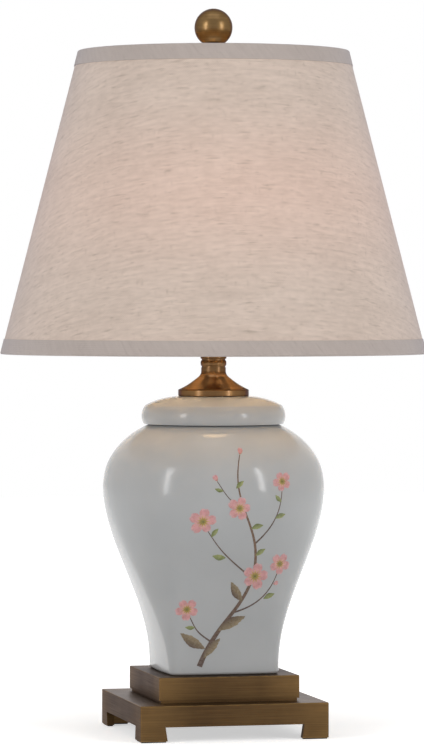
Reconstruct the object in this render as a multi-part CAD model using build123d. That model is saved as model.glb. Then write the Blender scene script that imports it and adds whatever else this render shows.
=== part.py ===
from build123d import *
import math
import os

# Porcelain table lamp on a two-tier brass base, with a linen cone shade on a harp.
# Millimetres, +Z up, origin on the table under the lamp's axis, front towards -Y.

# Lower plinth and its feet
PLINTH_SIDE = 178.4
PLINTH_WALL = 3.0
APRON_HEIGHT = 19.8
FOOT_HEIGHT = 12.8
FOOT_TOP_WIDTH = 23.4
FOOT_BOTTOM_WIDTH = 25.4
FOOT_WALL = 7.0
PAD_THICKNESS = 1.2
PAD_INSET = 1.0
EDGE_ROUND = 1.2
TOP_EDGE_ROUND = 0.96

# Upper tier, standing on a recessed step
TIER_SIDE = 133.6
TIER_HEIGHT = 21.2
TIER_WALL = 2.5
STEP_HEIGHT = 2.6
STEP_DEPTH = 2.0

# Underside cover, ballast and clamping rod
BOARD_THICKNESS = 1.6
FELT_THICKNESS = 1.0
COVER_GAP = 0.3
BALLAST_SIDE = 118.0
BALLAST_THICKNESS = 4.0
ROD_RADIUS = 5.0
ROD_BORE_RADIUS = 3.2
ROD_GAP = 0.3
WASHER_RADIUS = 13.0
WASHER_THICKNESS = 1.2
LOCK_WASHER_RADIUS = 8.6
LOCK_WASHER_THICKNESS = 1.0
NUT_WIDTH = 17.0
NUT_THICKNESS = 3.4
ROD_TAIL = 0.8
THREAD_GAP = 0.05

# Cord bushing in the rear apron
BUSHING_RADIUS = 4.2
BUSHING_BORE_RADIUS = 3.0
BUSHING_FLANGE_RADIUS = 6.0
BUSHING_FLANGE_THICKNESS = 2.0
BUSHING_NUT_RADIUS = 5.4
BUSHING_NUT_THICKNESS = 2.4
BUSHING_TAIL = 1.2

# Porcelain jar: rounded square at the foot, round at the belly and mouth
JAR_FOOT_HALF_WIDTH = 54.0
JAR_FOOT_CORNER = 10.0
JAR_INNER_CORNER = 4.0
JAR_BELLY_RADIUS = 104.0
JAR_BELLY_HEIGHT = 175.1
JAR_MOUTH_RADIUS = 62.1
JAR_SHOULDER_HEIGHT = 56.1
JAR_SHOULDER_SWEEP = 57.9
JAR_SWELL = 1.07
JAR_SOFTENING = 1.1
JAR_SIDE_ANGLE = 4.0
JAR_LOWER_STEPS = 8
JAR_SHOULDER_SHARES = (0.3, 0.55, 0.75, 0.9, 1.0)
JAR_WALL = 6.0
JAR_FLOOR = 6.0
JAR_FOOT_ROUND = 2.2
JAR_PAD_THICKNESS = 0.6
JAR_PAD_INSET = 2.0

# Lid
LID_RIM_RADIUS = 65.9
LID_EDGE_RADIUS = 67.7
LID_EDGE_HEIGHT = 8.6
LID_BAND_RADIUS = 64.1
LID_BAND_HEIGHT = 17.6
LID_BAND_ROUND = 3.0
LID_TOP_RISE = 8.4
LID_TOP_CROWN = 1.7
LID_FLAT_RADIUS = 34.0
LID_WALL = 5.0
LID_TONGUE_DEPTH = 7.0
LID_TONGUE_WALL = 4.5
LID_FIT = 0.6
LID_RING_THICKNESS = 0.8
LID_RING_INSET = 0.6

# Brass neck and collar
NECK_FLANGE_RADIUS = 33.3
NECK_FLANGE_HEIGHT = 6.4
NECK_FLANGE_ROUND = 1.0
NECK_FLARE_HEIGHT = 17.4
NECK_FLARE_SLOPE = 0.5
NECK_FLARE_LOW_RADIUS = 23.2
NECK_FLARE_LOW_RISE = 5.0
NECK_FLARE_HIGH_RADIUS = 15.6
NECK_FLARE_HIGH_RISE = 10.6
NECK_RADIUS = 11.6
NECK_BEAD_RADIUS = 12.2
NECK_BEAD_HEIGHT = 5.2
NECK_GROOVE = 1.4
NECK_GROOVE_DEPTH = 0.5
NECK_SHANK_HEIGHT = 3.2
NECK_WALL = 2.0
COLLAR_RADIUS = 12.2
COLLAR_HEIGHT = 8.6
COLLAR_ROUND = 0.8

# Harp: saddle, wire, stud and sleeves
SADDLE_HALF_SPAN = 28.5
SADDLE_WIDTH = 14.0
SADDLE_THICKNESS = 1.8
SADDLE_ARM_HEIGHT = 18.0
SADDLE_BEND = 1.4
PEG_HEIGHT = 10.0
WIRE_RADIUS = 2.3
WIRE_GAP = 0.2
HARP_HEIGHT = 233.8
HARP_BOW_HALF = 56.0
HARP_STRAIGHT = 31.0
HARP_BOW_START = 89.0
HARP_BOW_END = 172.0
HARP_TOP_HALF = 30.0
HARP_BENDS = (60.0, 80.0, 90.0, 18.0)
HARP_PAD_LENGTH = 24.0
HARP_PAD_WIDTH = 11.0
HARP_PAD_THICKNESS = 2.6
HARP_PAD_CORNER = 3.3
HARP_WIRE_END = 8.4
STUD_RADIUS = 3.175
STUD_LENGTH = 16.0
STUD_DISC_RADIUS = 6.0
STUD_DISC_THICKNESS = 2.0
STUD_RIVET_RADIUS = 2.4
STUD_HEAD_RADIUS = 4.0
STUD_HEAD_THICKNESS = 1.0
SLEEVE_LENGTH = 18.0
SLEEVE_RADIUS = 3.9
SLEEVE_FIT = 0.3

# Lamp socket and switch
CAP_RADIUS = 17.4
CAP_HEIGHT = 20.0
CAP_WALL = 0.9
CAP_BOSS_RADIUS = 8.0
CAP_BOSS_HEIGHT = 5.0
CAP_SHOULDER = 6.0
SHELL_RADIUS = 16.2
SHELL_WALL = 0.6
SHELL_HEIGHT = 47.0
SHELL_BEAD = 0.9
LINER_GAP = 0.4
LINER_WALL = 0.8
BODY_RADIUS = 13.6
BODY_HEIGHT = 23.0
BODY_GAP = 0.3
LAMP_THREAD_RADIUS = 13.0
LAMP_THREAD_FIT = 0.35
LAMP_THREAD_WALL = 0.55
LAMP_THREAD_HEIGHT = 23.0
CONTACT_RADIUS = 4.2
CONTACT_HEIGHT = 1.6
TERMINAL_RADIUS = 2.8
TERMINAL_HEAD = 1.0
SET_SCREW_RADIUS = 1.3
SHAFT_RADIUS = 1.6
SHAFT_FIT = 0.1
SHAFT_RISE = 5.0
SHAFT_DEPTH = 7.0
SHAFT_WINDOW = 3.4
KNOB_RADIUS = 6.4
KNOB_LENGTH = 15.0
KNOB_STANDOFF = 5.0
KNOB_FLAT = 3.4
KNOB_SKIRT = 4.5
KNOB_ROUND = 1.6

# Bulb
BULB_RADIUS = 30.0
BULB_NECK_RADIUS = 14.2
BULB_GLASS_HEIGHT = 79.0
BULB_GLASS_WALL = 0.9
BULB_NECK_LEAN = 0.1
BULB_CAP_WALL = 1.2
BULB_TIP_RADIUS = 4.0
BULB_TIP_HEIGHT = 1.4
BULB_SEAT_RADIUS = 9.5
BULB_SEAT_HEIGHT = 3.4
BULB_COLLAR_HEIGHT = 3.0

# Shade
SHADE_BOTTOM_RADIUS = 200.0
SHADE_TOP_RADIUS = 127.0
SHADE_HEIGHT = 283.2
SHADE_RECESS = 13.0
COVER_THICKNESS = 0.7
LINER_THICKNESS = 0.8
BOND_GAP = 0.1
TRIM_WIDTH = 13.5
TRIM_FOLD = 8.0
TRIM_THICKNESS = 0.6
RING_RADIUS = 1.7
ARM_RADIUS = 1.6
ARM_ANGLES = (90, 210, 330)
ARM_START = 10.4
ARM_CLEARANCE = 0.5
HUB_RADIUS = 13.0
HUB_THICKNESS = 1.6
HUB_FIT = 0.1
HUB_REST = 0.1

# Finial
BALL_RADIUS = 17.9
BALL_WALL = 1.2
STEM_HEIGHT = 18.5
STEM_FOOT_RADIUS = 7.0
STEM_FOOT_HEIGHT = 3.0
STEM_WAIST_RADIUS = 4.9
STEM_SPIGOT_RADIUS = 5.2
STEM_SPIGOT_HEIGHT = 3.5
STEM_REST = 0.2

# Heights of the stack, from the table up
apron_z = PAD_THICKNESS + FOOT_HEIGHT
plinth_top_z = apron_z + APRON_HEIGHT
tier_z = plinth_top_z + STEP_HEIGHT
tier_top_z = tier_z + TIER_HEIGHT
jar_z = tier_top_z + JAR_PAD_THICKNESS
belly_z = jar_z + JAR_BELLY_HEIGHT
mouth_z = belly_z + JAR_SHOULDER_HEIGHT
lid_z = mouth_z + LID_RING_THICKNESS
lid_edge_z = lid_z + LID_EDGE_HEIGHT
lid_band_z = lid_z + LID_BAND_HEIGHT
lid_top_z = lid_band_z + LID_TOP_RISE
flange_top_z = lid_top_z + NECK_FLANGE_HEIGHT
flare_top_z = flange_top_z + NECK_FLARE_HEIGHT
bead_z = flare_top_z + NECK_SHANK_HEIGHT + NECK_GROOVE
neck_top_z = bead_z + NECK_BEAD_HEIGHT + NECK_GROOVE
collar_top_z = neck_top_z + COLLAR_HEIGHT
saddle_top_z = collar_top_z + SADDLE_THICKNESS
peg_z = collar_top_z + SADDLE_ARM_HEIGHT
harp_z = peg_z + PEG_HEIGHT + WIRE_GAP
harp_top_z = harp_z + HARP_HEIGHT
pad_top_z = harp_top_z + HARP_PAD_THICKNESS / 2
hub_z = pad_top_z + STUD_DISC_THICKNESS + HUB_REST
hub_top_z = hub_z + HUB_THICKNESS
shade_top_z = hub_top_z + SHADE_RECESS
shade_z = shade_top_z - SHADE_HEIGHT
cap_mouth_z = saddle_top_z + CAP_HEIGHT
cap_floor_z = saddle_top_z + CAP_BOSS_HEIGHT + CAP_WALL
shell_z = cap_mouth_z - CAP_HEIGHT / 3
shell_top_z = shell_z + SHELL_HEIGHT
body_z = cap_floor_z + BODY_GAP
body_top_z = body_z + BODY_HEIGHT
contact_top_z = body_top_z + LAMP_THREAD_WALL + CONTACT_HEIGHT
bulb_z = contact_top_z + BODY_GAP
bulb_seat_z = bulb_z + BULB_TIP_HEIGHT
bulb_thread_z = bulb_seat_z + BULB_SEAT_HEIGHT
bulb_collar_z = shell_top_z + BODY_GAP
glass_z = bulb_collar_z + BULB_COLLAR_HEIGHT + THREAD_GAP
glass_top_z = glass_z + BULB_GLASS_HEIGHT
shaft_z = cap_mouth_z + SHAFT_RISE
stem_z = hub_top_z + STEM_REST
stem_top_z = stem_z + STEM_HEIGHT

# Heights inside the hollow base, from the plinth's top plate down
ballast_z = plinth_top_z - PLINTH_WALL - BALLAST_THICKNESS
washer_z = ballast_z - WASHER_THICKNESS
lock_washer_z = washer_z - LOCK_WASHER_THICKNESS
nut_z = lock_washer_z - NUT_THICKNESS
felt_z = apron_z + COVER_GAP
board_z = felt_z + FELT_THICKNESS

# Radii that mating pieces share
rod_hole = ROD_RADIUS + ROD_GAP
thread_hole = ROD_RADIUS + THREAD_GAP
mouth_bore = JAR_MOUTH_RADIUS - JAR_WALL
tongue_radius = mouth_bore - LID_FIT
shell_bore = SHELL_RADIUS - SHELL_WALL
liner_radius = shell_bore - LINER_GAP
liner_bore = liner_radius - LINER_WALL
lamp_thread_bore = LAMP_THREAD_RADIUS + LAMP_THREAD_FIT
spigot_hole = STEM_SPIGOT_RADIUS + THREAD_GAP
ball_z = stem_top_z + math.sqrt(BALL_RADIUS**2 - spigot_hole**2)


def disc(radius, low, high):
    return Pos(0, 0, low) * Cylinder(radius, high - low, align=(Align.CENTER, Align.CENTER, Align.MIN))


def tube(radius, bore, low, high):
    return disc(radius, low, high) - disc(bore, low, high)


def slab(side, low, high, corner=0.0):
    outline = RectangleRounded(side, side, corner) if corner else Rectangle(side, side)
    return Pos(0, 0, low) * extrude(outline, high - low)


def turned(*points):
    """A ring turned about the upright axis from a closed outline of (radius, height) points."""
    return revolve(Plane.XZ * make_face(Polyline(*points, close=True)), Axis.Z)


def turned_from(edges):
    return revolve(Plane.XZ * make_face(Curve() + edges), Axis.Z)


def softened_block(side, low, high):
    """A square block with its upright and top edges rounded."""
    block = slab(side, low, high, EDGE_ROUND)
    top = block.faces().sort_by(Axis.Z)[-1]
    return fillet(top.edges(), TOP_EDGE_ROUND)


def lower_plinth():
    block = softened_block(PLINTH_SIDE, PAD_THICKNESS, plinth_top_z)
    half_low = PLINTH_SIDE / 2 - FOOT_BOTTOM_WIDTH
    half_high = PLINTH_SIDE / 2 - FOOT_TOP_WIDTH
    gap = make_face(Polyline(
        (-half_low, PAD_THICKNESS), (half_low, PAD_THICKNESS),
        (half_high, apron_z), (-half_high, apron_z), close=True))
    channel = extrude(Plane.XZ * gap, PLINTH_SIDE / 2 + 1, both=True)
    cavity = slab(PLINTH_SIDE - 2 * PLINTH_WALL, apron_z, plinth_top_z - PLINTH_WALL)
    cavity += slab(PLINTH_SIDE - 2 * FOOT_WALL, PAD_THICKNESS, apron_z)
    block -= channel + Rot(0, 0, 90) * channel + cavity
    block -= disc(rod_hole, ballast_z, plinth_top_z)
    return block - rear_hole(BUSHING_RADIUS + THREAD_GAP)


def bushing_z():
    return (board_z + BOARD_THICKNESS + plinth_top_z - PLINTH_WALL) / 2


def along_y(radius, start, end, height):
    """A round bar along Y between two Y positions."""
    bar = Cylinder(radius, end - start, align=(Align.CENTER, Align.CENTER, Align.MIN))
    return Pos(0, start, height) * Rot(-90, 0, 0) * bar


def rear_hole(radius):
    half = PLINTH_SIDE / 2
    return along_y(radius, half - 2 * PLINTH_WALL, half + 1, bushing_z())


def foot_pads():
    """Four angle pads under the feet, set in from their edges."""
    outer = PLINTH_SIDE / 2 - PAD_INSET
    inner = outer - FOOT_WALL + 2 * PAD_INSET
    end = outer - FOOT_BOTTOM_WIDTH + 2 * PAD_INSET
    outline = make_face(Polyline(
        (outer, outer), (end, outer), (end, inner), (inner, inner), (inner, end), (outer, end), close=True))
    pad = extrude(outline, PAD_THICKNESS, dir=(0, 0, 1))
    return Compound(children=[Rot(0, 0, 90 * quarter) * pad for quarter in range(4)])


def notched_sheet(low, high):
    """A square sheet, drawn in at its corners to pass up between the feet."""
    full = PLINTH_SIDE - 2 * PLINTH_WALL - 2 * COVER_GAP
    drawn_in = PLINTH_SIDE - 2 * FOOT_WALL - 2 * COVER_GAP
    between_feet = PLINTH_SIDE - 2 * FOOT_BOTTOM_WIDTH - 2 * COVER_GAP
    band = Pos(0, 0, low) * extrude(Rectangle(full, between_feet), high - low)
    return slab(drawn_in, low, high) + band + Rot(0, 0, 90) * band


def ballast_plate():
    return slab(BALLAST_SIDE, ballast_z, ballast_z + BALLAST_THICKNESS) - disc(
        rod_hole, ballast_z, ballast_z + BALLAST_THICKNESS)


def rod_nut():
    hexagon = RegularPolygon(NUT_WIDTH / 2, 6, major_radius=False)
    nut = Pos(0, 0, nut_z) * extrude(hexagon, NUT_THICKNESS)
    return nut - disc(thread_hole, nut_z, nut_z + NUT_THICKNESS)


def threaded_rod():
    return tube(ROD_RADIUS, ROD_BORE_RADIUS, nut_z - ROD_TAIL, cap_floor_z - CAP_WALL / 2)


def cord_bushing():
    half = PLINTH_SIDE / 2
    inner_end = half - PLINTH_WALL - BUSHING_NUT_THICKNESS - BUSHING_TAIL
    outer_end = half + BUSHING_FLANGE_THICKNESS
    bush = along_y(BUSHING_RADIUS, inner_end, half, bushing_z())
    bush += along_y(BUSHING_FLANGE_RADIUS, half, outer_end, bushing_z())
    return bush - along_y(BUSHING_BORE_RADIUS, inner_end, outer_end, bushing_z())


def cord_bushing_nut():
    seat = PLINTH_SIDE / 2 - PLINTH_WALL
    ring = along_y(BUSHING_NUT_RADIUS, seat - BUSHING_NUT_THICKNESS, seat, bushing_z())
    return ring - along_y(BUSHING_RADIUS + THREAD_GAP, seat - BUSHING_NUT_THICKNESS, seat, bushing_z())


def upper_tier():
    tier = softened_block(TIER_SIDE, tier_z, tier_top_z)
    tier += slab(TIER_SIDE - 2 * STEP_DEPTH, plinth_top_z, tier_z)
    tier -= slab(TIER_SIDE - 2 * STEP_DEPTH - 2 * TIER_WALL, plinth_top_z, tier_top_z - TIER_WALL)
    return tier - disc(rod_hole, plinth_top_z, tier_top_z)


def jar_form(height):
    """Half width and corner radius of the jar's outside at a height above its foot."""
    if height <= JAR_BELLY_HEIGHT:
        rise = height / JAR_BELLY_HEIGHT
        ease = rise**JAR_SWELL
        swell = ease * ease * (3 - 2 * ease)
        half = JAR_FOOT_HALF_WIDTH + (JAR_BELLY_RADIUS - JAR_FOOT_HALF_WIDTH) * swell
        square = (JAR_FOOT_HALF_WIDTH - JAR_FOOT_CORNER) * (1 - rise)**JAR_SOFTENING
        return half, half - square
    sweep = math.radians(JAR_SHOULDER_SWEEP)
    turn = math.asin((height - JAR_BELLY_HEIGHT) / JAR_SHOULDER_HEIGHT * math.sin(sweep))
    inward = (JAR_BELLY_RADIUS - JAR_MOUTH_RADIUS) * (1 - math.cos(turn)) / (1 - math.cos(sweep))
    return JAR_BELLY_RADIUS - inward, JAR_BELLY_RADIUS - inward


def rounded_square(half, corner, z):
    """Four gently bowed sides joined by four corner arcs, all tangent. A circle where corner is half."""
    side = math.radians(JAR_SIDE_ANGLE)
    spread = (half - corner) / (1 - math.cos(side) + math.sin(side))
    bow = corner + spread
    offset = spread * math.sin(side)
    edges = []
    for quarter in range(4):
        turn = Pos(0, 0, z) * Rot(0, 0, 90 * quarter)
        edges.append(turn * CenterArc((half - bow, 0), bow, -JAR_SIDE_ANGLE, 2 * JAR_SIDE_ANGLE))
        edges.append(turn * CenterArc((offset, offset), corner, JAR_SIDE_ANGLE, 90 - 2 * JAR_SIDE_ANGLE))
    return Wire(edges)


def jar_loft(heights, inset):
    wires = []
    for height in heights:
        half, corner = jar_form(height)
        corner = max(corner - inset, JAR_INNER_CORNER)
        wires.append(rounded_square(half - inset, corner, jar_z + height))
    return Solid.make_loft(wires)


def jar_heights(start):
    """Section heights from a start height up to the mouth, closer together over the shoulder."""
    climb = (JAR_BELLY_HEIGHT - start) / JAR_LOWER_STEPS
    lower = [start + climb * step for step in range(JAR_LOWER_STEPS + 1)]
    upper = [JAR_BELLY_HEIGHT + JAR_SHOULDER_HEIGHT * share for share in JAR_SHOULDER_SHARES]
    return lower + upper


def jar():
    body = jar_loft(jar_heights(0), 0)
    foot = body.faces().sort_by(Axis.Z)[0]
    body = fillet(foot.edges(), JAR_FOOT_ROUND)
    body -= jar_loft(jar_heights(JAR_FLOOR), JAR_WALL)
    return body - disc(rod_hole, jar_z, jar_z + JAR_FLOOR)


def jar_pad():
    half = JAR_FOOT_HALF_WIDTH - JAR_PAD_INSET
    outline = make_face(rounded_square(half, JAR_FOOT_CORNER - JAR_PAD_INSET, tier_top_z))
    return extrude(outline, JAR_PAD_THICKNESS, dir=(0, 0, 1)) - disc(rod_hole, tier_top_z, jar_z)


def lid_ring():
    return tube(JAR_MOUTH_RADIUS - LID_RING_INSET, mouth_bore + LID_FIT, mouth_z, lid_z)


def lid():
    ceiling = lid_top_z - LID_WALL
    tongue_bore = tongue_radius - LID_TONGUE_WALL
    tongue_low = lid_z - LID_TONGUE_DEPTH
    crown = ((LID_FLAT_RADIUS + LID_BAND_RADIUS) / 2, (lid_top_z + lid_band_z) / 2 + LID_TOP_CROWN)
    edges = [
        Line((rod_hole, lid_top_z), (LID_FLAT_RADIUS, lid_top_z)),
        ThreePointArc((LID_FLAT_RADIUS, lid_top_z), crown, (LID_BAND_RADIUS, lid_band_z)),
        ThreePointArc((LID_BAND_RADIUS, lid_band_z), (LID_EDGE_RADIUS, lid_edge_z), (LID_RIM_RADIUS, lid_z)),
        Polyline((LID_RIM_RADIUS, lid_z), (tongue_radius, lid_z), (tongue_radius, tongue_low),
                 (tongue_bore, tongue_low), (tongue_bore, lid_edge_z)),
        EllipticalCenterArc((LID_FLAT_RADIUS, lid_edge_z), tongue_bore - LID_FLAT_RADIUS,
                            ceiling - lid_edge_z, start_angle=0, arc_size=90),
        Polyline((LID_FLAT_RADIUS, ceiling), (rod_hole, ceiling), (rod_hole, lid_top_z)),
    ]
    body = turned_from(edges)
    band_edge = body.edges().filter_by(GeomType.CIRCLE).sort_by_distance((LID_BAND_RADIUS, 0, lid_band_z))[0]
    return fillet(band_edge, LID_BAND_ROUND)


def neck():
    inner = NECK_RADIUS - NECK_WALL
    edge = NECK_FLANGE_RADIUS - NECK_FLANGE_ROUND
    shoulder = flange_top_z - NECK_FLANGE_ROUND
    groove = NECK_RADIUS - NECK_GROOVE_DEPTH
    groove_z = bead_z - NECK_GROOVE
    bead_top_z = bead_z + NECK_BEAD_HEIGHT
    edges = [
        Polyline((inner, lid_top_z), (edge, lid_top_z)),
        TangentArc((edge, lid_top_z), (NECK_FLANGE_RADIUS, lid_top_z + NECK_FLANGE_ROUND), tangent=(1, 0)),
        Line((NECK_FLANGE_RADIUS, lid_top_z + NECK_FLANGE_ROUND), (NECK_FLANGE_RADIUS, shoulder)),
        TangentArc((NECK_FLANGE_RADIUS, shoulder), (edge, flange_top_z), tangent=(0, 1)),
        Spline((edge, flange_top_z), (NECK_FLARE_LOW_RADIUS, flange_top_z + NECK_FLARE_LOW_RISE),
               (NECK_FLARE_HIGH_RADIUS, flange_top_z + NECK_FLARE_HIGH_RISE),
               (NECK_RADIUS, flare_top_z), tangents=[(-1, NECK_FLARE_SLOPE), (0, 1)]),
        Line((NECK_RADIUS, flare_top_z), (NECK_RADIUS, groove_z)),
        Polyline((NECK_RADIUS, groove_z), (groove, groove_z), (groove, bead_z), (NECK_RADIUS, bead_z)),
        ThreePointArc((NECK_RADIUS, bead_z), (NECK_BEAD_RADIUS, (bead_z + bead_top_z) / 2),
                      (NECK_RADIUS, bead_top_z)),
        Polyline((NECK_RADIUS, bead_top_z), (groove, bead_top_z), (groove, neck_top_z),
                 (rod_hole, neck_top_z), (rod_hole, bead_top_z), (inner, bead_z), (inner, lid_top_z)),
    ]
    return turned_from(edges)


def neck_collar():
    collar = tube(COLLAR_RADIUS, rod_hole, neck_top_z, collar_top_z)
    rims = collar.edges().filter_by(GeomType.CIRCLE).sort_by(SortBy.RADIUS)[-2:]
    return fillet(rims, COLLAR_ROUND)


def harp_saddle():
    outer = SADDLE_HALF_SPAN + SADDLE_THICKNESS / 2
    outer_bend = SADDLE_BEND + SADDLE_THICKNESS
    strip = make_face(FilletPolyline(
        (-outer, peg_z), (-outer, collar_top_z), (outer, collar_top_z), (outer, peg_z),
        (outer - SADDLE_THICKNESS, peg_z), (outer - SADDLE_THICKNESS, saddle_top_z),
        (SADDLE_THICKNESS - outer, saddle_top_z), (SADDLE_THICKNESS - outer, peg_z),
        radius=(0, outer_bend, outer_bend, 0, 0, SADDLE_BEND, SADDLE_BEND, 0), close=True))
    saddle = extrude(Plane.XZ * strip, SADDLE_WIDTH / 2, both=True)
    saddle -= disc(rod_hole, collar_top_z, saddle_top_z)
    for x in (-SADDLE_HALF_SPAN, SADDLE_HALF_SPAN):
        saddle += Pos(x, 0, 0) * disc(WIRE_RADIUS, peg_z, peg_z + PEG_HEIGHT)
    return saddle


def harp():
    half = [
        (SADDLE_HALF_SPAN, 0), (SADDLE_HALF_SPAN, HARP_STRAIGHT), (HARP_BOW_HALF, HARP_BOW_START),
        (HARP_BOW_HALF, HARP_BOW_END), (HARP_TOP_HALF, HARP_HEIGHT), (0, HARP_HEIGHT),
    ]
    route = FilletPolyline(*[(x, 0, harp_z + z) for x, z in half], radius=HARP_BENDS)
    profile = Plane(origin=(SADDLE_HALF_SPAN, 0, harp_z), z_dir=(0, 0, 1)) * Circle(WIRE_RADIUS)
    leg = sweep(profile, path=route)
    wire = leg + mirror(leg, Plane.YZ)
    rivet_room = Pos(0, 0, harp_top_z) * Box(2 * HARP_WIRE_END, 4 * WIRE_RADIUS, 4 * WIRE_RADIUS)
    wire = wire - rivet_room
    pad = Pos(0, 0, harp_top_z) * Box(HARP_PAD_LENGTH, HARP_PAD_WIDTH, HARP_PAD_THICKNESS)
    pad = fillet(pad.edges().filter_by(Axis.Z), HARP_PAD_CORNER)
    low = harp_top_z - HARP_PAD_THICKNESS
    return wire + pad - disc(STUD_RIVET_RADIUS + THREAD_GAP, low, pad_top_z)


def harp_stud():
    pad_low = pad_top_z - HARP_PAD_THICKNESS
    disc_top = pad_top_z + STUD_DISC_THICKNESS
    stud = disc(STUD_HEAD_RADIUS, pad_low - STUD_HEAD_THICKNESS, pad_low)
    stud += disc(STUD_RIVET_RADIUS, pad_low, pad_top_z)
    stud += disc(STUD_DISC_RADIUS, pad_top_z, disc_top)
    return stud + disc(STUD_RADIUS, disc_top, disc_top + STUD_LENGTH)


def harp_sleeve(side):
    low = peg_z + WIRE_GAP
    sleeve = tube(SLEEVE_RADIUS, WIRE_RADIUS + SLEEVE_FIT, low, low + SLEEVE_LENGTH)
    return Pos(side * SADDLE_HALF_SPAN, 0, 0) * sleeve


def socket_cap():
    inner = CAP_RADIUS - CAP_WALL
    boss_top = saddle_top_z + CAP_BOSS_HEIGHT
    shoulder = boss_top + CAP_SHOULDER
    edges = [
        Polyline((thread_hole, saddle_top_z), (CAP_BOSS_RADIUS, saddle_top_z), (CAP_BOSS_RADIUS, boss_top),
                 (CAP_RADIUS - CAP_SHOULDER, boss_top)),
        TangentArc((CAP_RADIUS - CAP_SHOULDER, boss_top), (CAP_RADIUS, shoulder), tangent=(1, 0)),
        Polyline((CAP_RADIUS, shoulder), (CAP_RADIUS, cap_mouth_z), (inner, cap_mouth_z), (inner, shoulder)),
        TangentArc((inner, shoulder), (CAP_RADIUS - CAP_SHOULDER, boss_top + CAP_WALL), tangent=(0, -1)),
        Polyline((CAP_RADIUS - CAP_SHOULDER, boss_top + CAP_WALL), (thread_hole, boss_top + CAP_WALL),
                 (thread_hole, saddle_top_z)),
    ]
    return turned_from(edges) - set_screw_hole()


def set_screw_hole():
    return along_y(SET_SCREW_RADIUS + THREAD_GAP, 0, CAP_BOSS_RADIUS + 1, saddle_top_z + CAP_BOSS_HEIGHT / 2)


def socket_set_screw():
    return along_y(SET_SCREW_RADIUS, ROD_RADIUS + ROD_GAP, CAP_BOSS_RADIUS + 1,
                   saddle_top_z + CAP_BOSS_HEIGHT / 2)


def socket_shell():
    shell = tube(SHELL_RADIUS, shell_bore, shell_z, shell_top_z)
    bead = Pos(0, 0, shell_top_z - SHELL_BEAD) * Torus(SHELL_RADIUS, SHELL_BEAD)
    shell += bead - disc(shell_bore, shell_z, shell_top_z)
    return shell - switch_window()


def switch_window():
    return along_y(SHAFT_WINDOW, -CAP_RADIUS - 1, 0, shaft_z)


def socket_liner():
    return tube(liner_radius, liner_bore, shell_z, shell_top_z) - switch_window()


def socket_body():
    body = disc(BODY_RADIUS, body_z, body_top_z)
    seat = BODY_RADIUS - CAP_SHOULDER
    body -= disc(BODY_RADIUS, body_z, body_z + CAP_SHOULDER) - disc(seat, body_z, body_z + CAP_SHOULDER)
    body -= disc(ROD_BORE_RADIUS, body_z, body_z + CAP_SHOULDER)
    body -= along_y(SHAFT_RADIUS + SHAFT_FIT, -BODY_RADIUS - 1, SHAFT_DEPTH - BODY_RADIUS, shaft_z)
    for side in (-1, 1):
        body -= terminal(side, SHAFT_FIT)
    return body


def terminal(side, allowance):
    """A terminal screw's shank in the flank of the socket body, grown by an allowance."""
    shank = Cylinder(TERMINAL_RADIUS / 2 + allowance, 2 * TERMINAL_RADIUS, rotation=(0, 90, 0))
    head = Cylinder(TERMINAL_RADIUS + allowance, 2 * TERMINAL_HEAD, rotation=(0, 90, 0))
    place = side * (BODY_RADIUS - TERMINAL_HEAD)
    return Pos(place - side * TERMINAL_RADIUS, 0, shaft_z) * shank + Pos(place, 0, shaft_z) * head


def terminal_screws():
    flank = disc(BODY_RADIUS, body_z, body_top_z)
    return Compound(children=[(terminal(side, 0) & flank).solid() for side in (-1, 1)])


def socket_thread():
    outer = lamp_thread_bore + LAMP_THREAD_WALL
    low = body_top_z + THREAD_GAP
    floor = low + LAMP_THREAD_WALL
    hole = CONTACT_RADIUS + 2 * LAMP_THREAD_WALL
    return turned((hole, low), (outer, low), (outer, low + LAMP_THREAD_HEIGHT),
                  (lamp_thread_bore, low + LAMP_THREAD_HEIGHT), (lamp_thread_bore, floor), (hole, floor))


def centre_contact():
    return disc(CONTACT_RADIUS, body_top_z, contact_top_z)


def switch_shaft():
    inner_end = SHAFT_DEPTH - BODY_RADIUS - SHAFT_FIT
    return along_y(SHAFT_RADIUS, -SHELL_RADIUS - KNOB_STANDOFF - KNOB_LENGTH / 2, inner_end, shaft_z)


def switch_knob():
    near = -SHELL_RADIUS - KNOB_STANDOFF
    knob = along_y(KNOB_RADIUS, near - KNOB_LENGTH, near, shaft_z)
    far_edge = knob.edges().filter_by(GeomType.CIRCLE).sort_by(Axis.Y)[0]
    knob = fillet(far_edge, KNOB_ROUND)
    grip = Box(KNOB_RADIUS, KNOB_LENGTH - KNOB_SKIRT, 3 * KNOB_RADIUS)
    grip_y = near - (KNOB_LENGTH + KNOB_SKIRT) / 2
    for side in (-1, 1):
        knob -= Pos(side * (KNOB_FLAT + KNOB_RADIUS / 2), grip_y, shaft_z) * grip
    return knob - along_y(SHAFT_RADIUS + THREAD_GAP, near - KNOB_LENGTH / 2, near, shaft_z)


def bulb_cap():
    collar_top = bulb_collar_z + BULB_COLLAR_HEIGHT
    inner = LAMP_THREAD_RADIUS - BULB_CAP_WALL
    return turned((0, bulb_z), (BULB_TIP_RADIUS, bulb_z), (BULB_TIP_RADIUS, bulb_seat_z),
                  (BULB_SEAT_RADIUS, bulb_seat_z), (LAMP_THREAD_RADIUS, bulb_thread_z),
                  (LAMP_THREAD_RADIUS, bulb_collar_z), (BULB_NECK_RADIUS, collar_top), (inner, collar_top),
                  (inner, bulb_thread_z + BULB_CAP_WALL), (0, bulb_thread_z + BULB_CAP_WALL))


def glass_curve(inset):
    """The pear outline of the bulb from its neck to its crown."""
    centre_z = glass_top_z - BULB_RADIUS
    neck_radius = BULB_NECK_RADIUS - inset
    side = (BULB_RADIUS - inset, centre_z)
    flank = Spline((neck_radius, glass_z), side, tangents=[(BULB_NECK_LEAN, 1), (0, 1)])
    crown = CenterArc((0, centre_z), BULB_RADIUS - inset, 0, 90)
    return [flank, crown]


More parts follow.
